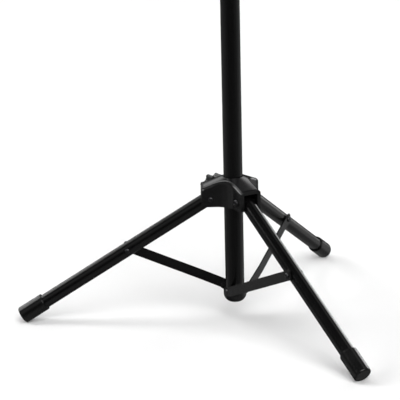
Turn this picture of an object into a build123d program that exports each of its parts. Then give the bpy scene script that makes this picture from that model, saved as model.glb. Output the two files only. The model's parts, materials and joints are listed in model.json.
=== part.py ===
from build123d import *
import os
from math import sin, cos, tan, radians, degrees, acos, sqrt

os.makedirs("parts", exist_ok=True)

# ---------------------------------------------------------------------------
# Music stand with a folding tripod base.
# Millimetres, +Z up, origin on the floor under the pole's axis.
# The desk faces -Y.  Azimuths are measured from +X, anticlockwise from above.
# ---------------------------------------------------------------------------

# pole
pole_od = 25.4
pole_wall = 1.2
pole_bottom = 29.5
pole_top = 620.0

# legs: azimuth of each, slope below horizontal, pivot place, tube
LEGS = {"left": 180.0, "front": 300.0, "rear": 60.0}
leg_slope = 31.74
leg_od = 19.05
leg_wall = 1.2
pivot_r = 31.0
pivot_z = 168.13
leg_tube_s0 = -5.5
leg_tube_s1 = 299.4
foot_end_s = 303.4
cap_r = 11.7
cap_len = 36.4
cap_edge = 2.0

# struts: flat straps on the right-hand side of each leg
strut_w = 13.4
strut_t = 2.0
strut_h_in = 15.0
strut_h_out = 9.9
strut_in_r = 15.0
strut_in_z = 41.36
strut_out_r = 143.6
strut_end_in = 6.1
strut_end_out = 6.8
strut_bend_a = 33.8
strut_bend_b = 125.8

# hub
hub_bottom = 158.4
hub_arm_r = 40.2
hub_arm_half = 15.3
hub_frame_r0 = 39.4
hub_frame_r1 = 43.2
hub_frame_half = 15.8
hub_frame_top = 184.6
hub_roof_z0 = 197.7
hub_roof_slope = 22.6
hub_crook = 30.0
hub_edge = 5.4
hub_bore_r = 14.5
hub_slot_half = 10.3
hub_slot_r0 = 19.4
hub_slot_top = 180.6
hub_mouth_top = 180.0
pin_r = 2.5

# clamp knobs
knob_az = 120.0
knob_z = 169.5
knob_r = 19.6
knob_thick = 16.5
flute_r = 5.5
flute_floor = 15.4
knob_neck_r = 8.5
knob_neck = 6.0
screw_r = 3.0
boss_r = 9.0
boss_end = 32.4

# bottom collar
collar_r = 15.5
collar_bottom = 21.0
collar_top = 40.0
collar_round = 11.5
lug_h0 = 11.0
lug_h1 = 14.7
lug_r = 19.2

# height clutch
clutch_z0 = 588.0
clutch_z1 = 634.0
clutch_r = 18.5
clutch_knob_z = 606.0
clutch_knob_az = 90.0
clutch_boss_end = 29.5

# upper tube
upper_od = 19.05
upper_wall = 1.2
upper_z0 = 395.0
upper_z1 = 955.0
run_gap = 0.05

# tilt head
tilt_z = 985.0
head_r = 13.5
head_z0 = 914.0
ear_in = 6.5
ear_out = 12.5
ear_r = 13.0
bolt_r = 4.0

# desk
desk_lean = 20.0
desk_w = 490.0
desk_u0 = -130.0
desk_u1 = 210.0
desk_sheet = 1.2
desk_hem = 9.0
desk_front = 25.2
ledge_depth = 57.0
lip_height = 16.0
bracket_half_w = 55.0
bracket_half_h = 45.0
bracket_t = 3.0

# derived
pole_ro = pole_od / 2
pole_ri = pole_ro - pole_wall
leg_ro = leg_od / 2
leg_ri = leg_ro - leg_wall
up_ro = upper_od / 2
up_ri = up_ro - upper_wall
strut_out_z = pivot_z - (strut_out_r - pivot_r) * tan(radians(leg_slope))
strut_len = sqrt((strut_out_r - strut_in_r) ** 2 + (strut_out_z - strut_in_z) ** 2)
strut_angle = degrees(acos((strut_out_r - strut_in_r) / strut_len))
rivet_s = (strut_out_r - pivot_r) / cos(radians(leg_slope))

# folded state: legs stand parallel to the pole
fold_leg = 90.0 - leg_slope
strut_folded = degrees(acos((pivot_r - strut_in_r) / strut_len))
fold_strut = strut_folded - strut_angle
fold_slide = strut_in_z + strut_len * sin(radians(strut_folded)) + rivet_s - pivot_z
print("strut length %.3f angle %.3f" % (strut_len, strut_angle))
print("fold: leg %.4f deg, strut %.4f deg, hub slide %.4f mm" % (fold_leg, fold_strut, fold_slide))
print("strut outer rivet r %.3f z %.3f s %.3f" % (strut_out_r, strut_out_z, rivet_s))


def out_dir(az):
    return Vector(cos(radians(az)), sin(radians(az)), 0)


def side_dir(az):
    return Vector(sin(radians(az)), -cos(radians(az)), 0)


def radial_plane(az, h=0.0):
    # upright plane through the pole's axis: x outward, y up, z to the right-hand side
    return Plane(origin=side_dir(az) * h, x_dir=out_dir(az), z_dir=side_dir(az))


def leg_dir(az):
    return out_dir(az) * cos(radians(leg_slope)) + Vector(0, 0, -sin(radians(leg_slope)))


def pivot_point(az):
    return out_dir(az) * pivot_r + Vector(0, 0, pivot_z)


def leg_section(az):
    # plane that holds a leg's axis: x along the leg from its pivot, z to the right-hand side
    return Plane(origin=pivot_point(az), x_dir=leg_dir(az), z_dir=side_dir(az))


def leg_cross(az, s):
    # plane across a leg at distance s from its pivot
    return Plane(origin=pivot_point(az) + leg_dir(az) * s, x_dir=side_dir(az), z_dir=leg_dir(az))


def across_plane(az, r, z):
    # plane that holds a cross pin's axis: x to the right-hand side, y up
    return Plane(origin=out_dir(az) * r + Vector(0, 0, z), x_dir=side_dir(az), z_dir=out_dir(az) * -1)


def facing_plane(az, r, z=0.0):
    # plane that faces outward at distance r: z outward, y up
    return Plane(origin=out_dir(az) * r + Vector(0, 0, z), x_dir=side_dir(az) * -1, z_dir=out_dir(az))


# ---------------------------------------------------------------------------
# pole
# ---------------------------------------------------------------------------

# round steel pole, with a side hole near its top for the clutch shoe
with BuildPart() as lower_tube:
    with BuildSketch(Plane.XY.offset(pole_bottom)):
        Circle(pole_ro)
        Circle(pole_ri, mode=Mode.SUBTRACT)
    extrude(amount=pole_top - pole_bottom)
    with BuildSketch(facing_plane(clutch_knob_az, 5.0, clutch_knob_z)):
        Circle(4.0)
    extrude(amount=15.0, mode=Mode.SUBTRACT)
lower_tube.part.label = "lower_tube"
export_step(lower_tube.part, "parts/lower_tube.step")

# plug in the pole's foot that takes the collar's screw
with BuildPart() as tube_end_plug:
    with BuildSketch(Plane.XY.offset(pole_bottom)):
        Circle(pole_ri)
        Circle(2.5, mode=Mode.SUBTRACT)
    extrude(amount=26.0)
    chamfer(tube_end_plug.faces().sort_by(Axis.Z)[-1].edges().sort_by(SortBy.LENGTH)[-1], 1.5)
tube_end_plug.part.label = "tube_end_plug"
export_step(tube_end_plug.part, "parts/tube_end_plug.step")

# bottom collar: a rounded cup with three tangential lugs for the struts
with BuildPart() as lower_collar:
    with BuildSketch(Plane.XZ):
        with BuildLine():
            Polyline((0, collar_bottom), (collar_r - collar_round, collar_bottom))
            RadiusArc((collar_r - collar_round, collar_bottom), (collar_r, collar_bottom + collar_round),
                      -collar_round)
            Polyline((collar_r, collar_bottom + collar_round), (collar_r, collar_top - 1.2),
                     (collar_r - 1.2, collar_top), (0, collar_top), (0, collar_bottom))
        make_face()
    revolve(axis=Axis.Z)
    for az in LEGS.values():
        with BuildSketch(radial_plane(az, lug_h0)) as lug:
            with BuildLine():
                Polyline((3.0, 31.0), (12.0, 33.0), (lug_r, 36.6), (lug_r, 45.4), (11.0, 45.0), (3.0, 40.0),
                         close=True)
            make_face()
            fillet([v for v in lug.vertices() if v.X > lug_r - 0.1], 3.2)
        extrude(amount=lug_h1 - lug_h0)
    with BuildSketch(Plane.XY.offset(pole_bottom)):
        Circle(pole_ro)
    extrude(amount=60.0, mode=Mode.SUBTRACT)
    with BuildSketch(Plane.XY.offset(collar_bottom)):
        Circle(2.5)
    extrude(amount=10.0, mode=Mode.SUBTRACT)
    with BuildSketch(Plane.XY.offset(collar_bottom - 1.0)):
        Circle(5.0)
    extrude(amount=3.6, mode=Mode.SUBTRACT)
    for az in LEGS.values():
        with BuildSketch(radial_plane(az, lug_h0 - 0.5)):
            with Locations((strut_in_r, strut_in_z)):
                Circle(2.5)
        extrude(amount=10.0, mode=Mode.SUBTRACT)
lower_collar.part.label = "lower_collar"
export_step(lower_collar.part, "parts/lower_collar.step")

# pan-head screw up through the collar's floor
with BuildPart() as collar_lock_screw:
    with BuildSketch(Plane.XZ):
        with BuildLine():
            Polyline((0, collar_bottom + 0.4), (3.6, collar_bottom + 0.4), (4.6, collar_bottom + 1.2),
                     (4.6, collar_bottom + 2.6), (2.5, collar_bottom + 2.6), (2.5, 44.0), (0, 44.0), close=True)
        make_face()
    revolve(axis=Axis.Z)
    with BuildSketch(Plane.XY.offset(collar_bottom)):
        Rectangle(5.4, 1.2)
        Rectangle(1.2, 5.4)
    extrude(amount=1.6, mode=Mode.SUBTRACT)
collar_lock_screw.part.label = "collar_lock_screw"
export_step(collar_lock_screw.part, "parts/collar_lock_screw.step")

# countersunk rivets, flush with the straps, that carry the struts' inner ends
with BuildPart() as collar_rivets:
    for az in LEGS.values():
        h_face = strut_h_in + strut_t
        with BuildSketch(across_plane(az, strut_in_r, strut_in_z)):
            with BuildLine():
                Polyline((lug_h0 - 0.5, 0), (lug_h0 - 0.5, 2.5), (h_face - 1.5, 2.5), (h_face - 0.2, 3.8),
                         (h_face - 0.1, 3.8), (h_face - 0.1, 0), close=True)
            make_face()
        revolve(axis=Axis(out_dir(az) * strut_in_r + Vector(0, 0, strut_in_z), side_dir(az)))
collar_rivets.part.label = "collar_rivets"
export_step(collar_rivets.part, "parts/collar_rivets.step")

# ---------------------------------------------------------------------------
# hub
# ---------------------------------------------------------------------------

# Y-shaped moulded housing: three arms under a conical roof, each with a framed mouth
with BuildPart() as leg_hub:
    with BuildSketch(Plane.XY.offset(hub_bottom)) as hub_plan:
        with PolarLocations(hub_arm_r / 2, 3, start_angle=60.0):
            Rectangle(hub_arm_r, 2 * hub_arm_half)
        fillet([v for v in hub_plan.vertices() if sqrt(v.X ** 2 + v.Y ** 2) < 25.0], hub_crook)
    extrude(amount=50.0)
    roof_t = tan(radians(hub_roof_slope))
    with BuildSketch(Plane.XZ):
        with BuildLine():
            Polyline((0, 100), (0, hub_roof_z0), (12.0, hub_roof_z0), (70.0, hub_roof_z0 - 58.0 * roof_t),
                     (70.0, 100), close=True)
        make_face()
    revolve(axis=Axis.Z, mode=Mode.INTERSECT)
    roof_face = leg_hub.faces().filter_by(GeomType.CONE).sort_by(SortBy.AREA)[-1]
    fillet([e for e in roof_face.edges() if e.center().Z < hub_roof_z0 - 0.6
            and sqrt(e.center().X ** 2 + e.center().Y ** 2) < hub_arm_r - 0.5], hub_edge)
    # framed end of each arm
    for az in LEGS.values():
        with BuildSketch(facing_plane(az, hub_frame_r0)) as frame_end:
            with BuildLine():
                Polyline((-hub_frame_half, hub_bottom), (hub_frame_half, hub_bottom),
                         (hub_frame_half, hub_frame_top), (-hub_frame_half, hub_frame_top), close=True)
            make_face()
            fillet([v for v in frame_end.vertices() if v.Y > 160.0], 4.6)
        extrude(amount=hub_frame_r1 - hub_frame_r0)
    rim = []
    for az in LEGS.values():
        for f in leg_hub.faces().filter_by(GeomType.PLANE):
            if abs(f.normal_at().dot(out_dir(az)) - 1.0) < 1e-4 and abs(f.center().dot(out_dir(az)) - hub_frame_r1) < 0.01:
                rim += [e for e in f.edges() if e.center().Z > hub_bottom + 0.5]
    fillet(rim, 0.9)
    # boss for the clamp screw
    with BuildSketch(facing_plane(knob_az, 12.0, knob_z)):
        Circle(boss_r)
    extrude(amount=boss_end - 12.0)
    # bore for the liner, relieved at the top
    with BuildSketch(Plane.XY.offset(hub_bottom - 5.0)):
        Circle(hub_bore_r)
    extrude(amount=60.0, mode=Mode.SUBTRACT)
    # slots for the legs, open below and at the mouths
    for az in LEGS.values():
        with BuildSketch(radial_plane(az, -hub_slot_half)) as slot_side:
            with BuildLine():
                Polyline((hub_slot_r0, 130.0), (hub_slot_r0, hub_slot_top), (38.6, hub_slot_top),
                         (40.2, hub_mouth_top), (60.0, hub_mouth_top), (60.0, 130.0), close=True)
            make_face()
            fillet([v for v in slot_side.vertices() if v.X < 25.0 and v.Y > 160.0], 3.0)
        extrude(amount=2 * hub_slot_half, mode=Mode.SUBTRACT)
        with BuildSketch(radial_plane(az, -20.0)):
            with Locations((pivot_r, pivot_z)):
                Circle(pin_r)
        extrude(amount=40.0, mode=Mode.SUBTRACT)
    # stepped hole of the clamp screw: pad, nut, mouth
    with BuildSketch(facing_plane(knob_az, 0.0, knob_z)):
        Circle(3.8)
    extrude(amount=40.0, mode=Mode.SUBTRACT)
    with BuildSketch(facing_plane(knob_az, 21.0, knob_z)):
        RegularPolygon(5.6, 6)
    extrude(amount=20.0, mode=Mode.SUBTRACT)
leg_hub.part.label = "leg_hub"
export_step(leg_hub.part, "parts/leg_hub.step")

# nylon liner that runs on the pole
with BuildPart() as hub_liner:
    with BuildSketch(Plane.XY.offset(hub_bottom)):
        Circle(hub_bore_r)
        Circle(pole_ro + run_gap, mode=Mode.SUBTRACT)
    extrude(amount=37.8)
    chamfer(hub_liner.faces().sort_by(Axis.Z)[-1].edges(), 0.5)
    with BuildSketch(facing_plane(knob_az, 8.0, knob_z)):
        Circle(3.8)
    extrude(amount=10.0, mode=Mode.SUBTRACT)
hub_liner.part.label = "hub_liner"
export_step(hub_liner.part, "parts/hub_liner.step")

# pivot pins of the three legs, headed on one side and swaged on the other
with BuildPart() as leg_pivot_pins:
    for az in LEGS.values():
        w = hub_arm_half
        with BuildSketch(across_plane(az, pivot_r, pivot_z)):
            with BuildLine():
                Polyline((-w - 0.7, 0), (-w - 0.7, 2.6), (-w - 0.2, 3.3), (-w, 3.3), (-w, pin_r), (w, pin_r),
                         (w, 4.7), (w + 1.2, 4.7))
                RadiusArc((w + 1.2, 4.7), (w + 2.6, 3.1), 2.2)
                Polyline((w + 2.6, 3.1), (w + 2.6, 2.2), (w + 1.5, 1.8), (w + 1.5, 0), (-w - 0.7, 0))
            make_face()
        revolve(axis=Axis(pivot_point(az), side_dir(az)))
leg_pivot_pins.part.label = "leg_pivot_pins"
export_step(leg_pivot_pins.part, "parts/leg_pivot_pins.step")

# hexagonal nut held in the hub's boss
with BuildPart() as hub_clamp_nut:
    with BuildSketch(facing_plane(knob_az, 21.0, knob_z)):
        RegularPolygon(5.6, 6)
        Circle(screw_r + run_gap, mode=Mode.SUBTRACT)
    extrude(amount=7.0)
hub_clamp_nut.part.label = "hub_clamp_nut"
export_step(hub_clamp_nut.part, "parts/hub_clamp_nut.step")

# pressure pad that bears on the pole
with BuildPart() as hub_clamp_pad:
    with BuildSketch(facing_plane(knob_az, 8.0, knob_z)):
        Circle(3.8)
    extrude(amount=8.4)
    with BuildSketch(Plane.XY.offset(100.0)):
        Circle(pole_ro + run_gap)
    extrude(amount=100.0, mode=Mode.SUBTRACT)
hub_clamp_pad.part.label = "hub_clamp_pad"
export_step(hub_clamp_pad.part, "parts/hub_clamp_pad.step")


def fluted_knob(base, bore_r, bore_depth):
    # hand knob: a neck, then a disc with eight round flutes and a dished face
    with BuildPart() as knob:
        with BuildSketch(base.offset(knob_neck)) as disc:
            Circle(knob_r)
            with PolarLocations(flute_floor + flute_r, 8):
                Circle(flute_r, mode=Mode.SUBTRACT)
            fillet(disc.vertices(), 1.5)
        extrude(amount=knob_thick)
        along = Axis(base.origin, base.z_dir)
        fillet(knob.faces().sort_by(along)[-1].edges(), 2.2)
        fillet(knob.faces().sort_by(along)[0].edges(), 1.4)
        with BuildSketch(base):
            Circle(knob_neck_r)
        extrude(amount=knob_neck + 1.0)
        with BuildSketch(base.offset(knob_neck + knob_thick - 1.2)):
            Circle(10.5)
        extrude(amount=5.0, mode=Mode.SUBTRACT)
        with BuildSketch(base.offset(-1.0)):
            Circle(bore_r)
        extrude(amount=bore_depth + 1.0, mode=Mode.SUBTRACT)
    return knob


# hub clamp knob and its screw
hub_clamp_knob = fluted_knob(facing_plane(knob_az, boss_end + 0.8, knob_z), screw_r, 16.0)
hub_clamp_knob.part.label = "hub_clamp_knob"
export_step(hub_clamp_knob.part, "parts/hub_clamp_knob.step")

with BuildPart() as hub_clamp_screw:
    with BuildSketch(facing_plane(knob_az, 16.8, knob_z)):
        Circle(screw_r)
    extrude(amount=boss_end + 0.8 + 16.0 - 16.8)
    chamfer(hub_clamp_screw.faces().sort_by(Axis((0, 0, 0), tuple(out_dir(knob_az))))[0].edges(), 0.6)
hub_clamp_screw.part.label = "hub_clamp_screw"
export_step(hub_clamp_screw.part, "parts/hub_clamp_screw.step")

# ---------------------------------------------------------------------------
# legs and struts
# ---------------------------------------------------------------------------

for side, az in LEGS.items():
    leg_axis = Axis(pivot_point(az), leg_dir(az))

    # round leg tube, drilled for its pivot pin and for the strut's rivet
    with BuildPart() as leg_tube:
        with BuildSketch(leg_cross(az, leg_tube_s0)):
            Circle(leg_ro)
            Circle(leg_ri, mode=Mode.SUBTRACT)
        extrude(amount=leg_tube_s1 - leg_tube_s0)
        with BuildSketch(radial_plane(az, -20.0)):
            with Locations((pivot_r, pivot_z)):
                Circle(pin_r + run_gap)
            with Locations((strut_out_r, strut_out_z)):
                Circle(2.4)
        extrude(amount=40.0, mode=Mode.SUBTRACT)
    leg_tube.part.label = "leg_tube_" + side
    export_step(leg_tube.part, "parts/leg_tube_" + side + ".step")

    # plug in the leg's upper end, bored for the pivot pin
    with BuildPart() as leg_end_plug:
        with BuildSketch(leg_section(az)):
            with BuildLine():
                Polyline((-7.2, 0), (-7.2, 6.6), (-5.5, 8.6), (leg_tube_s0, leg_ri), (12.0, leg_ri),
                         (14.0, leg_ri - 1.5), (14.0, 0), close=True)
            make_face()
        revolve(axis=leg_axis)
        with BuildSketch(radial_plane(az, -20.0)):
            with Locations((pivot_r, pivot_z)):
                Circle(pin_r + run_gap)
        extrude(amount=40.0, mode=Mode.SUBTRACT)
    leg_end_plug.part.label = "leg_end_plug_" + side
    export_step(leg_end_plug.part, "parts/leg_end_plug_" + side + ".step")

    # rivet across the leg, headed on the side away from the strut
    with BuildPart() as leg_rivet:
        with BuildSketch(across_plane(az, strut_out_r, strut_out_z)):
            with BuildLine():
                Polyline((9.3, 0), (9.3, 2.4), (-leg_ro, 2.4), (-leg_ro, 3.4), (-leg_ro - 0.5, 3.4))
                RadiusArc((-leg_ro - 0.5, 3.4), (-leg_ro - 1.7, 1.6), -2.6)
                Polyline((-leg_ro - 1.7, 1.6), (-leg_ro - 1.7, 0), (9.3, 0))
            make_face()
        revolve(axis=Axis(out_dir(az) * strut_out_r + Vector(0, 0, strut_out_z), side_dir(az)))
    leg_rivet.part.label = "leg_rivet_" + side
    export_step(leg_rivet.part, "parts/leg_rivet_" + side + ".step")

    # rubber foot cap with a flat sole
    with BuildPart() as foot_cap:
        with BuildSketch(leg_section(az)):
            with BuildLine():
                Polyline((foot_end_s - cap_len, leg_ro), (foot_end_s - cap_len, cap_r - 0.9))
                RadiusArc((foot_end_s - cap_len, cap_r - 0.9), (foot_end_s - cap_len + 0.9, cap_r), 0.9)
                Polyline((foot_end_s - cap_len + 0.9, cap_r), (foot_end_s - cap_edge, cap_r))
                RadiusArc((foot_end_s - cap_edge, cap_r), (foot_end_s, cap_r - cap_edge), cap_edge)
                Polyline((foot_end_s, cap_r - cap_edge), (foot_end_s, 0), (leg_tube_s1, 0),
                         (leg_tube_s1, leg_ro), (foot_end_s - cap_len, leg_ro))
            make_face()
        revolve(axis=leg_axis)
        with BuildSketch(Plane.XY):
            Rectangle(900.0, 900.0)
        extrude(amount=-20.0, mode=Mode.SUBTRACT)
    foot_cap.part.label = "foot_cap_" + side
    export_step(foot_cap.part, "parts/foot_cap_" + side + ".step")

    # strut: flat strap, parallel to the leg's plane at both ends and slanted between
    strut_dir = out_dir(az) * cos(radians(strut_angle)) + Vector(0, 0, sin(radians(strut_angle)))
    strut_up = Vector(0, 0, cos(radians(strut_angle))) - out_dir(az) * sin(radians(strut_angle))
    inner = out_dir(az) * strut_in_r + Vector(0, 0, strut_in_z)
    with BuildPart() as strut:
        with BuildSketch(Plane(origin=inner, x_dir=strut_dir, z_dir=strut_up * -1)) as bend:
            with BuildLine():
                Polyline((-strut_end_in, strut_h_in), (strut_bend_a, strut_h_in), (strut_bend_b, strut_h_out),
                         (strut_len + strut_end_out, strut_h_out), (strut_len + strut_end_out, strut_h_out + strut_t),
                         (strut_bend_b, strut_h_out + strut_t), (strut_bend_a, strut_h_in + strut_t),
                         (-strut_end_in, strut_h_in + strut_t), close=True)
            make_face()
            fillet([v for v in bend.vertices() if 0.0 < v.X < strut_len], 6.0)
        extrude(amount=strut_w / 2, both=True)
        tips = [e for e in strut.edges().filter_by(GeomType.LINE)
                if abs(abs((e @ 1 - e @ 0).normalized().dot(side_dir(az))) - 1.0) < 1e-4]
        inner_low = [e for e in tips if (e.center() - inner).dot(strut_dir) < 0 and (e.center() - inner).dot(strut_up) < 0]
        fillet(inner_low, 5.6)
        tips = [e for e in strut.edges().filter_by(GeomType.LINE)
                if abs(abs((e @ 1 - e @ 0).normalized().dot(side_dir(az))) - 1.0) < 1e-4
                and abs(abs((e.center() - inner).dot(strut_up)) - strut_w / 2) < 0.01
                and ((e.center() - inner).dot(strut_dir) > strut_len
                     or (e.center() - inner).dot(strut_up) > 0)]
        fillet(tips, 3.2)
        with BuildSketch(radial_plane(az, 5.0)):
            with Locations((strut_in_r, strut_in_z)):
                Circle(2.5 + run_gap)
            with Locations((strut_out_r, strut_out_z)):
                Circle(2.5)
        extrude(amount=20.0, mode=Mode.SUBTRACT)
        # countersink of the inner rivet
        h_face = strut_h_in + strut_t
        with BuildSketch(across_plane(az, strut_in_r, strut_in_z)):
            with BuildLine():
                Polyline((h_face - 1.5, 0), (h_face - 1.5, 2.5 + run_gap), (h_face - 0.2, 3.8 + run_gap),
                         (h_face + 1.0, 3.8 + run_gap), (h_face + 1.0, 0), close=True)
            make_face()
        revolve(axis=Axis(inner, side_dir(az)), mode=Mode.SUBTRACT)
        chamfer([e for e in strut.edges().filter_by(GeomType.LINE) if e.length > 30.0], 0.35)
    strut.part.label = "strut_" + side
    export_step(strut.part, "parts/strut_" + side + ".step")

    # rolled rivet head on the strut's outer end
    with BuildPart() as strut_rivet:
        h_face = strut_h_out + strut_t
        with BuildSketch(across_plane(az, strut_out_r, strut_out_z)):
            with BuildLine():
                Polyline((strut_h_out, 0), (strut_h_out, 2.5), (h_face, 2.5), (h_face, 3.7), (h_face + 0.8, 3.7))
                RadiusArc((h_face + 0.8, 3.7), (h_face + 2.1, 2.3), 2.0)
                Polyline((h_face + 2.1, 2.3), (h_face + 2.1, 1.6), (h_face + 1.0, 1.2), (h_face + 1.0, 0),
                         (strut_h_out, 0))
            make_face()
        revolve(axis=Axis(out_dir(az) * strut_out_r + Vector(0, 0, strut_out_z), side_dir(az)))
    strut_rivet.part.label = "strut_rivet_" + side
    export_step(strut_rivet.part, "parts/strut_rivet_" + side + ".step")

# ---------------------------------------------------------------------------
# height clutch
# ---------------------------------------------------------------------------

# moulded clamp body over the pole's top, with a boss for the screw
with BuildPart() as clutch_body:
    with BuildSketch(Plane.XY.offset(clutch_z0)):
        Circle(clutch_r)
    extrude(amount=clutch_z1 - clutch_z0)
    fillet(clutch_body.faces().sort_by(Axis.Z)[-1].edges(), 4.0)
    fillet(clutch_body.faces().sort_by(Axis.Z)[0].edges(), 2.0)
    with BuildSketch(facing_plane(clutch_knob_az, 10.0, clutch_knob_z)):
        Circle(boss_r)
    extrude(amount=clutch_boss_end - 10.0)
    with BuildSketch(Plane.XY.offset(clutch_z0 - 1.0)):
        Circle(pole_ro)
    extrude(amount=pole_top - clutch_z0 + 1.0, mode=Mode.SUBTRACT)
    with BuildSketch(Plane.XY.offset(pole_top - 1.0)):
        Circle(up_ro + 0.8)
    extrude(amount=40.0, mode=Mode.SUBTRACT)
    with BuildSketch(facing_plane(clutch_knob_az, 0.0, clutch_knob_z)):
        Circle(4.0)
    extrude(amount=40.0, mode=Mode.SUBTRACT)
    with BuildSketch(facing_plane(clutch_knob_az, 20.0, clutch_knob_z)):
        RegularPolygon(5.6, 6)
    extrude(amount=20.0, mode=Mode.SUBTRACT)
clutch_body.part.label = "clutch_body"
export_step(clutch_body.part, "parts/clutch_body.step")

# nylon bush in the pole's top that guides the upper tube
with BuildPart() as clutch_bush:
    with BuildSketch(Plane.XY.offset(592.0)):
        Circle(pole_ri)
        Circle(up_ro + run_gap, mode=Mode.SUBTRACT)
    extrude(amount=pole_top - 592.0)
    with BuildSketch(facing_plane(clutch_knob_az, 5.0, clutch_knob_z)):
        Circle(4.0)
    extrude(amount=15.0, mode=Mode.SUBTRACT)
clutch_bush.part.label = "clutch_bush"
export_step(clutch_bush.part, "parts/clutch_bush.step")

with BuildPart() as clutch_nut:
    with BuildSketch(facing_plane(clutch_knob_az, 20.0, clutch_knob_z)):
        RegularPolygon(5.6, 6)
        Circle(screw_r + run_gap, mode=Mode.SUBTRACT)
    extrude(amount=7.0)
clutch_nut.part.label = "clutch_nut"
export_step(clutch_nut.part, "parts/clutch_nut.step")

# brass shoe that presses on the upper tube
with BuildPart() as clutch_shoe:
    with BuildSketch(facing_plane(clutch_knob_az, 5.0, clutch_knob_z)):
        Circle(4.0)
    extrude(amount=9.6)
    with BuildSketch(Plane.XY.offset(550.0)):
        Circle(up_ro + run_gap)
    extrude(amount=100.0, mode=Mode.SUBTRACT)
clutch_shoe.part.label = "clutch_shoe"
export_step(clutch_shoe.part, "parts/clutch_shoe.step")

height_knob = fluted_knob(facing_plane(clutch_knob_az, clutch_boss_end + 0.8, clutch_knob_z), screw_r, 16.0)
height_knob.part.label = "height_knob"
export_step(height_knob.part, "parts/height_knob.step")

with BuildPart() as height_screw:
    with BuildSketch(facing_plane(clutch_knob_az, 15.0, clutch_knob_z)):
        Circle(screw_r)
    extrude(amount=clutch_boss_end + 0.8 + 16.0 - 15.0)
    chamfer(height_screw.faces().sort_by(Axis((0, 0, 0), tuple(out_dir(clutch_knob_az))))[0].edges(), 0.6)
height_screw.part.label = "height_screw"
export_step(height_screw.part, "parts/height_screw.step")

# ---------------------------------------------------------------------------
# upper tube
# ---------------------------------------------------------------------------

with BuildPart() as upper_tube:
    with BuildSketch(Plane.XY.offset(upper_z0)):
        Circle(up_ro)
        Circle(up_ri, mode=Mode.SUBTRACT)
    extrude(amount=upper_z1 - upper_z0)
    with BuildSketch(facing_plane(0.0, -20.0, 932.0)):
        Circle(2.0)
    extrude(amount=40.0, mode=Mode.SUBTRACT)
upper_tube.part.label = "upper_tube"
export_step(upper_tube.part, "parts/upper_tube.step")

# plug at the upper tube's foot: its flange keeps the guide on
with BuildPart() as upper_tube_plug:
    with BuildSketch(Plane.XZ):
        with BuildLine():
            Polyline((0, 391.0), (9.8, 391.0), (10.8, 392.0), (10.8, upper_z0), (up_ri, upper_z0),
                     (up_ri, 408.0), (up_ri - 1.0, 409.0), (0, 409.0), close=True)
        make_face()
    revolve(axis=Axis.Z)
upper_tube_plug.part.label = "upper_tube_plug"
export_step(upper_tube_plug.part, "parts/upper_tube_plug.step")

# guide ring that slides in the pole
with BuildPart() as inner_guide:
    with BuildSketch(Plane.XY.offset(395.5)):
        Circle(pole_ri - run_gap)
        Circle(up_ro + run_gap, mode=Mode.SUBTRACT)
    extrude(amount=28.0)
    chamfer([e for e in inner_guide.edges().filter_by(GeomType.CIRCLE) if e.radius > 11.0], 0.6)
inner_guide.part.label = "inner_guide"
export_step(inner_guide.part, "parts/inner_guide.step")

# snap ring above the guide
with BuildPart() as guide_clip:
    with BuildSketch(Plane.XY.offset(424.0)):
        Circle(10.9)
        Circle(up_ro, mode=Mode.SUBTRACT)
    extrude(amount=2.0)
guide_clip.part.label = "guide_clip"
export_step(guide_clip.part, "parts/guide_clip.step")

# ---------------------------------------------------------------------------
# tilt head
# ---------------------------------------------------------------------------

# cast head: a socket over the upper tube and two ears for the tilt bolt
with BuildPart() as tilt_head:
    with BuildSketch(Plane.XY.offset(head_z0)):
        Circle(head_r)
    extrude(amount=962.0 - head_z0)
    fillet(tilt_head.faces().sort_by(Axis.Z)[0].edges(), 2.0)
    with BuildSketch(Plane.YZ.offset(-ear_out)) as ears:
        with BuildLine():
            Polyline((-head_r + 1.5, 950.0), (head_r - 1.5, 950.0), (ear_r, tilt_z), (-ear_r, tilt_z), close=True)
        make_face()
        with Locations((0, tilt_z)):
            Circle(ear_r)
    extrude(amount=2 * ear_out)
    fillet([e for e in tilt_head.edges().filter_by(GeomType.CIRCLE)
            if abs(abs(e.center().X) - ear_out) < 0.01 and e.length > 20.0], 1.2)
    with BuildSketch(Plane.YZ.offset(-ear_in)) as gap_side:
        with BuildLine():
            Polyline((-40.0, 967.0), (40.0, 967.0), (40.0, 1010.0), (-40.0, 1010.0), close=True)
        make_face()
    extrude(amount=2 * ear_in, mode=Mode.SUBTRACT)
    with BuildSketch(Plane.XY.offset(head_z0 - 1.0)):
        Circle(up_ro)
    extrude(amount=upper_z1 - head_z0 + 1.0, mode=Mode.SUBTRACT)
    with BuildSketch(Plane.YZ.offset(-30.0)):
        with Locations((0, tilt_z)):
            Circle(bolt_r)
        with Locations((0, 932.0)):
            Circle(2.0)
    extrude(amount=60.0, mode=Mode.SUBTRACT)
tilt_head.part.label = "tilt_head"
export_step(tilt_head.part, "parts/tilt_head.step")

# cross pin through the head and the tube
with BuildPart() as head_pin:
    with BuildSketch(Plane.YZ.offset(-head_r - 0.4)):
        with Locations((0, 932.0)):
            Circle(2.0)
    extrude(amount=2 * head_r + 0.8)
    chamfer(head_pin.edges().filter_by(GeomType.CIRCLE), 0.3)
head_pin.part.label = "head_pin"
export_step(head_pin.part, "parts/head_pin.step")

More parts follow.
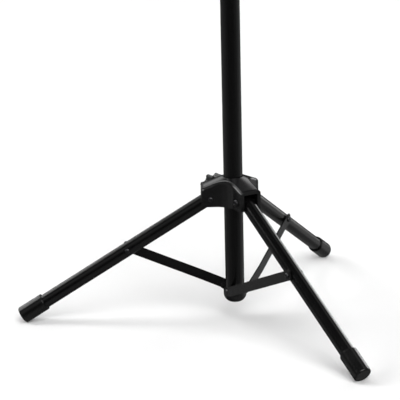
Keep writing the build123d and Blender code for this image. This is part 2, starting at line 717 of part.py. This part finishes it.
# tilt bolt with a round socket head
with BuildPart() as tilt_bolt:
    with BuildSketch(Plane.YZ.offset(-ear_out)):
        with Locations((0, tilt_z)):
            Circle(bolt_r)
    extrude(amount=ear_out + 27.0)
    with BuildSketch(Plane.YZ.offset(-ear_out - 5.0)):
        with Locations((0, tilt_z)):
            Circle(7.0)
    extrude(amount=5.0)
    fillet(tilt_bolt.faces().sort_by(Axis.X)[0].edges(), 1.0)
    with BuildSketch(Plane.YZ.offset(-ear_out - 5.0)):
        with Locations((0, tilt_z)):
            RegularPolygon(3.4, 6)
    extrude(amount=3.0, mode=Mode.SUBTRACT)
tilt_bolt.part.label = "tilt_bolt"
export_step(tilt_bolt.part, "parts/tilt_bolt.step")

# friction washers inside the ears
with BuildPart() as tilt_washers:
    for x0 in (-ear_in, ear_in - 1.0):
        with BuildSketch(Plane.YZ.offset(x0)):
            with Locations((0, tilt_z)):
                Circle(11.0)
                Circle(bolt_r, mode=Mode.SUBTRACT)
        extrude(amount=1.0)
tilt_washers.part.label = "tilt_washers"
export_step(tilt_washers.part, "parts/tilt_washers.step")

# tilt knob with a steel insert
tilt_knob_plane = Plane(origin=(ear_out + 0.8, 0, tilt_z), x_dir=(0, 1, 0), z_dir=(1, 0, 0))
tilt_knob = fluted_knob(tilt_knob_plane, 6.0, 15.0)
tilt_knob.part.label = "tilt_knob"
export_step(tilt_knob.part, "parts/tilt_knob.step")

with BuildPart() as tilt_knob_insert:
    with BuildSketch(tilt_knob_plane):
        Circle(6.0)
        Circle(bolt_r + run_gap, mode=Mode.SUBTRACT)
    extrude(amount=15.0)
tilt_knob_insert.part.label = "tilt_knob_insert"
export_step(tilt_knob_insert.part, "parts/tilt_knob_insert.step")

# ---------------------------------------------------------------------------
# desk: its own plane faces the player, x along +X, y up the desk
# ---------------------------------------------------------------------------

desk_normal = Vector(0, -cos(radians(desk_lean)), sin(radians(desk_lean)))
desk_plane = Plane(origin=(0, 0, tilt_z), x_dir=(1, 0, 0), z_dir=desk_normal)
desk_side = Plane(origin=(0, 0, tilt_z), x_dir=desk_normal, z_dir=(-1, 0, 0))
desk_mid = (desk_u0 + desk_u1) / 2
desk_h = desk_u1 - desk_u0
desk_back = desk_front - desk_sheet
screw_pts = [(-40.0, -30.0), (40.0, -30.0), (-40.0, 30.0), (40.0, 30.0)]
rivet_x = [-208.0, -104.0, 0.0, 104.0, 208.0]
vent_pts = [(46.0 * i, 44.0 + 48.0 * j) for i in range(-4, 5) for j in range(-2, 3)
            if not (abs(i) <= 1 and j <= 0)]

# pressed sheet tray with a hem turned back all round, and rows of round holes
with BuildPart() as desk_plate:
    with BuildSketch(desk_plane.offset(desk_front - desk_hem)) as tray:
        with Locations((0, desk_mid)):
            Rectangle(desk_w, desk_h)
        fillet([v for v in tray.vertices() if v.Y > desk_mid], 24.0)
        fillet([v for v in tray.vertices() if v.Y < desk_u0 + 1.0], 5.0)
    extrude(amount=desk_hem)
    fillet(desk_plate.faces().sort_by(Axis((0, 0, tilt_z), tuple(desk_normal)))[-1].edges(), 1.6)
    with BuildSketch(desk_plane.offset(desk_front - desk_hem)) as tray_in:
        with Locations((0, desk_mid)):
            Rectangle(desk_w - 2 * desk_sheet, desk_h - 2 * desk_sheet)
        fillet([v for v in tray_in.vertices() if v.Y > desk_mid], 24.0 - desk_sheet)
        fillet([v for v in tray_in.vertices() if v.Y < desk_u0 + 3.0], 5.0 - desk_sheet)
    extrude(amount=desk_hem - desk_sheet, mode=Mode.SUBTRACT)
    with BuildSketch(desk_plane.offset(10.0)):
        with Locations(*vent_pts):
            Circle(8.0)
        with Locations(*screw_pts):
            Circle(2.5)
    extrude(amount=30.0, mode=Mode.SUBTRACT)
    for x in rivet_x:
        with BuildSketch(Plane(origin=desk_plane.from_local_coords((x, desk_u0 - 5.0, desk_front - 4.8)),
                               x_dir=(1, 0, 0), z_dir=desk_plane.y_dir)):
            Circle(1.6)
        extrude(amount=8.0, mode=Mode.SUBTRACT)
desk_plate.part.label = "desk_plate"
export_step(desk_plate.part, "parts/desk_plate.step")

# page ledge: folded sheet with an upturned lip
with BuildPart() as desk_ledge:
    n0 = desk_front - desk_hem
    n1 = desk_front + ledge_depth
    with BuildSketch(desk_side) as fold:
        with BuildLine():
            Polyline((n0, desk_u0), (n0, desk_u0 - desk_sheet), (n1, desk_u0 - desk_sheet),
                     (n1, desk_u0 - desk_sheet + lip_height), (n1 - desk_sheet, desk_u0 - desk_sheet + lip_height),
                     (n1 - desk_sheet, desk_u0), close=True)
        make_face()
        fillet([v for v in fold.vertices() if abs(v.X - n1) < 0.01 and v.Y < desk_u0 - 0.5], 2.6)
        fillet([v for v in fold.vertices() if abs(v.X - n1 + desk_sheet) < 0.01 and abs(v.Y - desk_u0) < 0.01], 1.4)
    extrude(amount=desk_w / 2, both=True)
    lip_ends = [e for e in desk_ledge.edges().filter_by(GeomType.LINE)
                if abs(abs((e @ 1 - e @ 0).normalized().dot(desk_normal)) - 1.0) < 1e-4 and e.length < 2.0
                and (e.center() - Vector(0, 0, tilt_z)).dot(desk_plane.y_dir) > desk_u0 + 5.0]
    fillet(lip_ends, 9.0)
    for x in rivet_x:
        with BuildSketch(Plane(origin=desk_plane.from_local_coords((x, desk_u0 - 5.0, desk_front - 4.8)),
                               x_dir=(1, 0, 0), z_dir=desk_plane.y_dir)):
            Circle(1.6)
        extrude(amount=8.0, mode=Mode.SUBTRACT)
desk_ledge.part.label = "desk_ledge"
export_step(desk_ledge.part, "parts/desk_ledge.step")

# thin rubber mat on the ledge
with BuildPart() as ledge_mat:
    with BuildSketch(Plane(origin=desk_plane.from_local_coords((0, desk_u0, desk_front + 29.0)),
                           x_dir=(1, 0, 0), z_dir=desk_plane.y_dir)):
        RectangleRounded(470.0, 46.0, 5.0)
    extrude(amount=1.2)
ledge_mat.part.label = "ledge_mat"
export_step(ledge_mat.part, "parts/ledge_mat.step")

# rivets that hold the ledge to the desk's lower hem
with BuildPart() as ledge_rivets:
    for x in rivet_x:
        low = desk_plane.from_local_coords((x, desk_u0 - desk_sheet, desk_front - 4.8))
        with BuildSketch(Plane(origin=low, x_dir=(1, 0, 0), z_dir=desk_plane.y_dir)):
            Circle(1.6)
        extrude(amount=2 * desk_sheet + 1.4)
        with BuildSketch(Plane(origin=low, x_dir=(1, 0, 0), z_dir=desk_plane.y_dir)):
            Circle(3.2)
        extrude(amount=-1.1)
        with BuildSketch(Plane(origin=low, x_dir=(1, 0, 0), z_dir=desk_plane.y_dir).offset(2 * desk_sheet)):
            Circle(2.5)
        extrude(amount=1.4)
ledge_rivets.part.label = "ledge_rivets"
export_step(ledge_rivets.part, "parts/ledge_rivets.step")

# bracket behind the desk: back plate and the tongue that turns on the tilt bolt
tongue_half = ear_in - 1.0 - 0.3
with BuildPart() as desk_bracket:
    with BuildSketch(desk_plane.offset(desk_back - bracket_t)):
        RectangleRounded(2 * bracket_half_w, 2 * bracket_half_h, 9.0)
    extrude(amount=bracket_t)
    with BuildSketch(desk_side) as tongue:
        with BuildLine():
            Polyline((0, 12.0), (desk_back - bracket_t + 0.5, 32.0), (desk_back - bracket_t + 0.5, -32.0),
                     (14.8, -13.5), (0, -12.0), close=True)
        make_face()
        Circle(12.0)
    extrude(amount=tongue_half, both=True)
    with BuildSketch(Plane.YZ.offset(-30.0)):
        with Locations((0, tilt_z)):
            Circle(bolt_r + run_gap)
    extrude(amount=60.0, mode=Mode.SUBTRACT)
    with BuildSketch(desk_plane.offset(10.0)):
        with Locations(*screw_pts):
            Circle(2.5)
    extrude(amount=30.0, mode=Mode.SUBTRACT)
desk_bracket.part.label = "desk_bracket"
export_step(desk_bracket.part, "parts/desk_bracket.step")

# low round-headed screws from the desk's face, and their nuts
with BuildPart() as bracket_screws:
    with BuildSketch(desk_plane.offset(desk_back - bracket_t - 5.5)):
        with Locations(*screw_pts):
            Circle(2.5)
    extrude(amount=bracket_t + desk_sheet + 5.5)
    with BuildSketch(desk_plane.offset(desk_front)):
        with Locations(*screw_pts):
            Circle(5.2)
    extrude(amount=1.8)
    fillet([e for e in bracket_screws.edges().filter_by(GeomType.CIRCLE)
            if e.radius > 5.0 and (e.center() - Vector(0, 0, tilt_z)).dot(desk_normal) > desk_front + 1.0], 1.5)
bracket_screws.part.label = "bracket_screws"
export_step(bracket_screws.part, "parts/bracket_screws.step")

with BuildPart() as bracket_nuts:
    with BuildSketch(desk_plane.offset(desk_back - bracket_t - 4.0)):
        with Locations(*screw_pts):
            RegularPolygon(4.7, 6)
            Circle(2.5, mode=Mode.SUBTRACT)
    extrude(amount=4.0)
bracket_nuts.part.label = "bracket_nuts"
export_step(bracket_nuts.part, "parts/bracket_nuts.step")
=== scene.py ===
import json
import math

import bpy
from mathutils import Matrix, Vector

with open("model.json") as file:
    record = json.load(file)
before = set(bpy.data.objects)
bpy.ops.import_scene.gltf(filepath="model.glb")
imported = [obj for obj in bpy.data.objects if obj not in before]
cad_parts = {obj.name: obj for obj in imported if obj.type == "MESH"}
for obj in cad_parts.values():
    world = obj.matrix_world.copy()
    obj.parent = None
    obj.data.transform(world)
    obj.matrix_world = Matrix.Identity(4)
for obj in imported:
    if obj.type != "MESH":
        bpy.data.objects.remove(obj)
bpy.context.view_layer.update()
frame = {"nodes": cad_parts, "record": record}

scene = bpy.context.scene
NODES = frame["nodes"]


# ---------------------------------------------------------------------------
# materials: every one is procedural, in metres of the object's own space
# ---------------------------------------------------------------------------

class Mat:
    """A small builder around one Principled material."""

    def __init__(self, name, specular=0.5, metallic=0.0):
        self.m = bpy.data.materials.new(name)
        self.m.use_nodes = True
        self.nt = self.m.node_tree
        self.nt.nodes.clear()
        self.out = self.nt.nodes.new("ShaderNodeOutputMaterial")
        self.bsdf = self.nt.nodes.new("ShaderNodeBsdfPrincipled")
        self.nt.links.new(self.bsdf.outputs["BSDF"], self.out.inputs["Surface"])
        self.bsdf.inputs["Specular IOR Level"].default_value = specular
        self.bsdf.inputs["Metallic"].default_value = metallic
        self.tc = self.nt.nodes.new("ShaderNodeTexCoord")

    def link(self, a, b):
        self.nt.links.new(a, b)

    def noise(self, scale, detail=3.0, rough=0.55, stretch=None, distort=0.0):
        n = self.nt.nodes.new("ShaderNodeTexNoise")
        n.inputs["Scale"].default_value = scale
        n.inputs["Detail"].default_value = detail
        n.inputs["Roughness"].default_value = rough
        n.inputs["Distortion"].default_value = distort
        if stretch is None:
            self.link(self.tc.outputs["Object"], n.inputs["Vector"])
        else:
            mp = self.nt.nodes.new("ShaderNodeMapping")
            mp.inputs["Scale"].default_value = stretch
            self.link(self.tc.outputs["Object"], mp.inputs["Vector"])
            self.link(mp.outputs["Vector"], n.inputs["Vector"])
        return n.outputs["Fac"]

    def cells(self, scale, randomness=1.0):
        v = self.nt.nodes.new("ShaderNodeTexVoronoi")
        v.inputs["Scale"].default_value = scale
        v.inputs["Randomness"].default_value = randomness
        self.link(self.tc.outputs["Object"], v.inputs["Vector"])
        return v.outputs["Distance"]

    def remap(self, value, a0, a1, b0, b1, smooth=False):
        r = self.nt.nodes.new("ShaderNodeMapRange")
        r.clamp = True
        r.interpolation_type = "SMOOTHSTEP" if smooth else "LINEAR"
        for k, x in zip(("From Min", "From Max", "To Min", "To Max"), (a0, a1, b0, b1)):
            r.inputs[k].default_value = x
        self.link(value, r.inputs["Value"])
        return r.outputs["Result"]

    def math(self, op, a, b):
        n = self.nt.nodes.new("ShaderNodeMath")
        n.operation = op
        for k, x in enumerate((a, b)):
            if isinstance(x, (int, float)):
                n.inputs[k].default_value = x
            else:
                self.link(x, n.inputs[k])
        return n.outputs["Value"]

    def ramp(self, value, *stops):
        r = self.nt.nodes.new("ShaderNodeValToRGB")
        el = r.color_ramp.elements
        while len(el) < len(stops):
            el.new(0.5)
        for e, (p, c) in zip(el, stops):
            e.position = p
            e.color = (*c, 1.0)
        self.link(value, r.inputs["Fac"])
        return r.outputs["Color"]

    def mix(self, fac, a, b):
        n = self.nt.nodes.new("ShaderNodeMix")
        n.data_type = "RGBA"
        self.link(fac, n.inputs["Factor"])
        for sock, x in ((n.inputs[6], a), (n.inputs[7], b)):
            if isinstance(x, tuple):
                sock.default_value = (*x, 1.0)
            else:
                self.link(x, sock)
        return n.outputs[2]

    def colour(self, c):
        self.link(c, self.bsdf.inputs["Base Color"])

    def rough(self, r):
        self.link(r, self.bsdf.inputs["Roughness"])

    def bump(self, height, strength, distance, below=None):
        b = self.nt.nodes.new("ShaderNodeBump")
        b.inputs["Strength"].default_value = strength
        b.inputs["Distance"].default_value = distance
        self.link(height, b.inputs["Height"])
        if below is not None:
            self.link(below, b.inputs["Normal"])
        self.link(b.outputs["Normal"], self.bsdf.inputs["Normal"])
        return b.outputs["Normal"]

    def axis(self, k):
        s = self.nt.nodes.new("ShaderNodeSeparateXYZ")
        self.link(self.tc.outputs["Object"], s.inputs["Vector"])
        return s.outputs[k]


def powder_coat(name, specular, dark, light, r0, r1):
    # satin powder coat: soft orange peel over a fine grain, with a faint cloudy sheen
    m = Mat(name, specular)
    cloud = m.noise(14.0, 4.0, 0.6)
    grain = m.noise(2600.0, 2.0)
    peel = m.noise(760.0, 2.0, 0.5)
    m.colour(m.ramp(m.math("ADD", m.math("MULTIPLY", cloud, 0.7), m.math("MULTIPLY", grain, 0.3)),
                    (0.30, dark), (0.70, light)))
    m.rough(m.remap(m.math("ADD", m.math("MULTIPLY", cloud, 0.5), m.math("MULTIPLY", peel, 0.5)), 0.3, 0.7, r0, r1))
    first = m.bump(peel, 0.35, 0.00006)
    m.bump(grain, 0.20, 0.00002, first)
    return m.m


def moulding(name, specular, dark, light, r0, r1, scale=1900.0):
    # glass-filled moulding: spark-eroded grain, slight flow clouds and handling shine
    m = Mat(name, specular)
    flow = m.noise(22.0, 5.0, 0.6, distort=0.6)
    grain = m.cells(scale)
    fine = m.noise(scale * 2.2, 2.0)
    m.colour(m.ramp(m.math("ADD", m.math("MULTIPLY", flow, 0.65), m.math("MULTIPLY", fine, 0.35)),
                    (0.30, dark), (0.72, light)))
    m.rough(m.remap(flow, 0.3, 0.7, r0, r1))
    first = m.bump(grain, 0.22, 0.00004)
    m.bump(fine, 0.15, 0.00002, first)
    return m.m


def rubber(name, specular):
    # moulded rubber: dull, with fine pores and a trace of floor dust low down
    m = Mat(name, specular)
    patch = m.noise(45.0, 4.0, 0.6)
    pore = m.noise(3200.0, 2.0)
    black = m.ramp(m.math("ADD", m.math("MULTIPLY", patch, 0.6), m.math("MULTIPLY", pore, 0.4)),
                   (0.32, (0.0015, 0.0015, 0.0016)), (0.70, (0.0034, 0.0034, 0.0033)))
    dust = m.math("MULTIPLY", m.remap(m.axis(2), 0.0005, 0.010, 1.0, 0.0, True), m.remap(patch, 0.42, 0.70, 0.0, 0.25))
    m.colour(m.mix(dust, black, (0.070, 0.066, 0.060)))
    m.rough(m.remap(m.math("ADD", m.math("MULTIPLY", patch, 0.5), m.math("MULTIPLY", pore, 0.5)), 0.3, 0.7, 0.17, 0.26))
    first = m.bump(patch, 0.10, 0.00020)
    m.bump(pore, 0.25, 0.00003, first)
    return m.m


def metal(name, dark, light, r0, r1, stretch):
    # plated or blackened steel: drawn lines one way, cloudy plating
    m = Mat(name, 0.5, 1.0)
    line = m.noise(900.0, 3.0, 0.6, stretch=stretch)
    cloud = m.noise(60.0, 3.0)
    both = m.math("ADD", m.math("MULTIPLY", line, 0.5), m.math("MULTIPLY", cloud, 0.5))
    m.colour(m.ramp(both, (0.32, dark), (0.68, light)))
    m.rough(m.remap(both, 0.32, 0.68, r0, r1))
    m.bump(line, 0.15, 0.00002)
    return m.m


MATS = {
    "black_powder_coat": powder_coat("powder_coat", 0.34, (0.0012, 0.0012, 0.0013), (0.0026, 0.0026, 0.0027), 0.14, 0.20),
    "black_moulding": moulding("moulding", 0.40, (0.0028, 0.0028, 0.0030), (0.0056, 0.0056, 0.0058), 0.17, 0.25),
    "black_casting": moulding("casting", 0.30, (0.0060, 0.0060, 0.0062), (0.0110, 0.0110, 0.0112), 0.38, 0.50, 1100.0),
    "black_nylon": moulding("nylon", 0.25, (0.0060, 0.0060, 0.0060), (0.0110, 0.0110, 0.0110), 0.45, 0.55, 2400.0),
    "black_rubber": rubber("rubber", 0.34),
    "black_oxide_steel": metal("black_oxide", (0.035, 0.035, 0.037), (0.075, 0.075, 0.078), 0.26, 0.38, (1.0, 1.0, 0.15)),
    "zinc_steel": metal("zinc", (0.42, 0.43, 0.45), (0.60, 0.61, 0.63), 0.22, 0.36, (1.0, 1.0, 0.1)),
    "brass": metal("brass", (0.55, 0.40, 0.16), (0.74, 0.56, 0.26), 0.24, 0.38, (1.0, 1.0, 0.1)),
}
# the desk's sheet steel has a duller coat than the tubes; its colour is also painted several times lighter than the
# tubes' coat, painted light that stands in for light the desk's faces barely get
DESK_COAT_LIGHTENED = powder_coat("desk_coat_painted_lift", 0.34, (0.0085, 0.0085, 0.0087), (0.0145, 0.0145, 0.0148), 0.20, 0.28)
for part in frame["record"]["subparts"]:
    obj = NODES[part["node"]]
    obj.data.materials.clear()
    # desk parts take the lighter copy of the coat, whose colour carries painted light
    obj.data.materials.append(DESK_COAT_LIGHTENED if part["node"].startswith("desk_") else MATS[part["material_slot"]])


# ---------------------------------------------------------------------------
# floor
# ---------------------------------------------------------------------------

def make_floor():
    rings = [0.0, 0.3, 0.7, 1.5, 3.0, 6.0, 12.0, 25.0, 60.0]
    seg = 64
    verts, faces = [(0.0, 0.0, 0.0)], []
    for r in rings[1:]:
        for k in range(seg):
            a = 2 * math.pi * k / seg
            verts.append((r * math.cos(a), r * math.sin(a), 0.0))
    for k in range(seg):
        faces.append((0, 1 + k, 1 + (k + 1) % seg))
    for j in range(len(rings) - 2):
        a0, b0 = 1 + j * seg, 1 + (j + 1) * seg
        for k in range(seg):
            faces.append((a0 + k, b0 + k, b0 + (k + 1) % seg, a0 + (k + 1) % seg))
    me = bpy.data.meshes.new("floor")
    me.from_pydata(verts, [], faces)
    ob = bpy.data.objects.new("floor", me)
    scene.collection.objects.link(ob)
    ob.visible_glossy = False
    m = Mat("floor_paper", 0.2)
    soft = m.noise(3.0, 2.0)
    m.colour(m.ramp(soft, (0.35, (0.700, 0.700, 0.700)), (0.65, (0.714, 0.714, 0.714))))
    m.rough(m.remap(soft, 0.3, 0.7, 0.80, 0.90))
    me.materials.append(m.m)
    return ob


def make_backdrop():
    # plain white wall far behind the floor; only the camera sees it, so it gives no light of its own
    seg, radius, top = 96, 45.0, 40.0
    verts = []
    for z in (0.0, top):
        for k in range(seg):
            a = 2 * math.pi * k / seg
            verts.append((radius * math.cos(a), radius * math.sin(a), z))
    faces = [(k, (k + 1) % seg, seg + (k + 1) % seg, seg + k) for k in range(seg)]
    me = bpy.data.meshes.new("backdrop")
    me.from_pydata(verts, [], faces)
    ob = bpy.data.objects.new("backdrop", me)
    scene.collection.objects.link(ob)
    ob.visible_diffuse = False
    ob.visible_glossy = False
    ob.visible_transmission = False
    ob.visible_shadow = False
    m = Mat("backdrop_paper", 0.0)
    m.bsdf.inputs["Base Color"].default_value = (0.0, 0.0, 0.0, 1.0)
    m.bsdf.inputs["Emission Color"].default_value = (1.0, 1.0, 1.0, 1.0)
    m.bsdf.inputs["Emission Strength"].default_value = 1.0
    me.materials.append(m.m)
    return ob


make_floor()
make_backdrop()


# ---------------------------------------------------------------------------
# light: soft round panels around the object, and one panel above
# ---------------------------------------------------------------------------

world = bpy.data.worlds.new("studio")
scene.world = world
world.use_nodes = True
wn = world.node_tree
wn.nodes.clear()
w_out = wn.nodes.new("ShaderNodeOutputWorld")
w_bg = wn.nodes.new("ShaderNodeBackground")
wn.links.new(w_bg.outputs["Background"], w_out.inputs["Surface"])
w_tc = wn.nodes.new("ShaderNodeTexCoord")


def lobe(direction, inner, outer, power):
    # a soft round panel of light in one direction, as a value to add
    d = wn.nodes.new("ShaderNodeVectorMath")
    d.operation = "DOT_PRODUCT"
    d.inputs[1].default_value = Vector(direction).normalized()
    wn.links.new(w_tc.outputs["Generated"], d.inputs[0])
    r = wn.nodes.new("ShaderNodeMapRange")
    r.interpolation_type = "SMOOTHSTEP"
    r.clamp = True
    r.inputs["From Min"].default_value = math.cos(math.radians(outer))
    r.inputs["From Max"].default_value = math.cos(math.radians(inner))
    r.inputs["To Min"].default_value = 0.0
    r.inputs["To Max"].default_value = power
    wn.links.new(d.outputs["Value"], r.inputs["Value"])
    return r.outputs["Result"]


def w_add(a, b):
    n = wn.nodes.new("ShaderNodeMath")
    n.operation = "ADD"
    wn.links.new(a, n.inputs[0])
    if isinstance(b, float):
        n.inputs[1].default_value = b
    else:
        wn.links.new(b, n.inputs[1])
    return n.outputs["Value"]


# soft round panels around the object: elevation and bearing in degrees (bearing 0 along +X,
# 90 along +Y, away from the camera), half widths of the full and of the fading part, and power
STUDIO = (
    (45, 290, 6, 36, 4.9),
    (45, 250, 6, 36, 0.35),
    (18, 50, 3, 14, 5.5),
    (32, 65, 3, 14, 2.4),
    (5, 50, 3, 14, 2.2),
    (58, 0, 5, 26, 0.45),
    (58, 50, 5, 26, 0.25),
    (22, 100, 3, 14, 1.2),
    (34, 100, 3, 14, 1.1),
    (22, 130, 3, 14, 5.3),
    (34, 160, 3, 14, 6.3),
    (31, 173, 3, 13, 9.0),
    (58, 140, 3, 15, 4.8),
    (58, 160, 3, 15, 1.4),
    (-15, 0, 5, 28, 0.25),
    (-15, 30, 5, 28, 0.45),
    (-15, 150, 5, 28, 0.28),
    (-15, 180, 5, 28, 0.25),
    (-15, 210, 5, 28, 0.15),
    (-15, 270, 5, 28, 0.05),
    (-15, 330, 5, 28, 0.15),
    (-45, 0, 8, 42, 0.13),
    (-45, 60, 8, 42, 0.11),
    (-45, 240, 8, 42, 0.2),
    (-45, 300, 8, 42, 0.25),
    (-50, 100, 10, 40, 0.12),
    (18, 215, 6, 26, 0.35),
    (18, 320, 6, 26, 0.35),
)
level = None
for el, az, inner, outer, power in STUDIO:
    el, az = math.radians(el), math.radians(az)
    one = lobe((math.cos(el) * math.cos(az), math.cos(el) * math.sin(az), math.sin(el)), inner, outer, power)
    level = one if level is None else w_add(level, one)
grey = wn.nodes.new("ShaderNodeCombineColor")
for k in range(3):
    wn.links.new(level, grey.inputs[k])
wn.links.new(grey.outputs["Color"], w_bg.inputs["Color"])
w_bg.inputs["Strength"].default_value = 1.0


def panel(name, place, target, size, watts, glossy=True):
    la = bpy.data.lights.new(name, "AREA")
    la.shape = "DISK"
    la.size = size
    la.energy = watts
    ob = bpy.data.objects.new(name, la)
    scene.collection.objects.link(ob)
    ob.location = place
    ob.rotation_mode = "QUATERNION"
    ob.rotation_quaternion = (Vector(target) - Vector(place)).to_track_quat("-Z", "Y")
    ob.visible_glossy = glossy
    return ob


panel("top_panel", (0.10, 0.10, 3.2), (0.05, 0.0, 0.0), 1.5, 22.0, glossy=False)


# ---------------------------------------------------------------------------
# camera
# ---------------------------------------------------------------------------

pan, pitch, roll = math.radians(0.815), math.radians(-15.925), math.radians(-1.373)
look = Vector((math.sin(pan) * math.cos(pitch), math.cos(pan) * math.cos(pitch), math.sin(pitch)))
flat = Vector((math.cos(pan), -math.sin(pan), 0.0))
rise = flat.cross(look)
right = flat * math.cos(roll) + rise * math.sin(roll)
upward = rise * math.cos(roll) - flat * math.sin(roll)
cam_data = bpy.data.cameras.new("camera")
cam_data.lens = 145.2
cam_data.sensor_width = 36.0
cam_data.clip_start, cam_data.clip_end = 0.05, 200.0
cam = bpy.data.objects.new("camera", cam_data)
scene.collection.objects.link(cam)
turn = Matrix((right, upward, -look)).transposed()
cam.matrix_world = Matrix.Translation((-0.07405, -2.06878, 0.7547)) @ turn.to_4x4()
scene.camera = cam

scene.view_settings.view_transform = "Standard"
scene.view_settings.look = "None"
